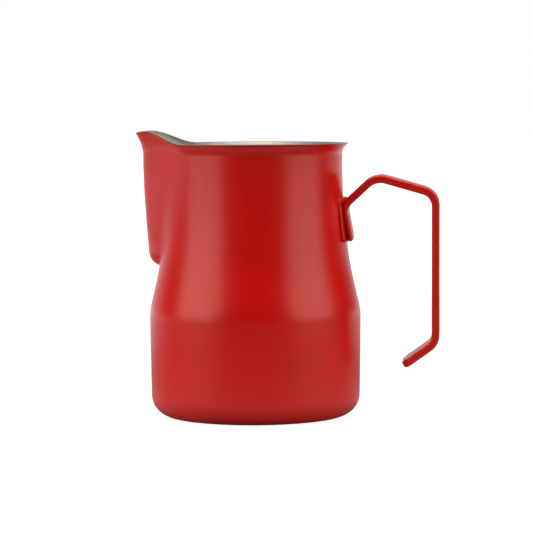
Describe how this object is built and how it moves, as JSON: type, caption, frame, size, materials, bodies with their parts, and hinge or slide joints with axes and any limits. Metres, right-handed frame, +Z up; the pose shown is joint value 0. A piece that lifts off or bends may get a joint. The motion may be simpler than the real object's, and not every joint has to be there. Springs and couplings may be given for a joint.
{
  "type": "milk frothing pitcher",
  "caption": "Spouted milk frothing pitcher with a waisted round body, rolled lip and open flat-strap handle, coated outside and bare steel inside.",
  "frame": {"origin": "on the axis of the round body, at the plane that the base stands on", "axes": "+Z up, +X from the body towards the handle, -X towards the pouring spout, +Y across"},
  "size_m": [0.1226, 0.085, 0.1149],
  "materials": {
    "bare_steel": "fine brushed stainless steel",
    "red_coating": "satin red powder coating",
    "coated_handle": "satin red powder coating over steel strap",
    "coated_weld": "satin red powder coating over a weld bead"
  },
  "bodies": {
    "root": {"body_shell": "bare_steel", "exterior_coating": "red_coating", "saddle_plate": "coated_handle", "strap_handle": "coated_handle", "strap_weld_bead": "coated_weld"}
  },
  "joints": []
}
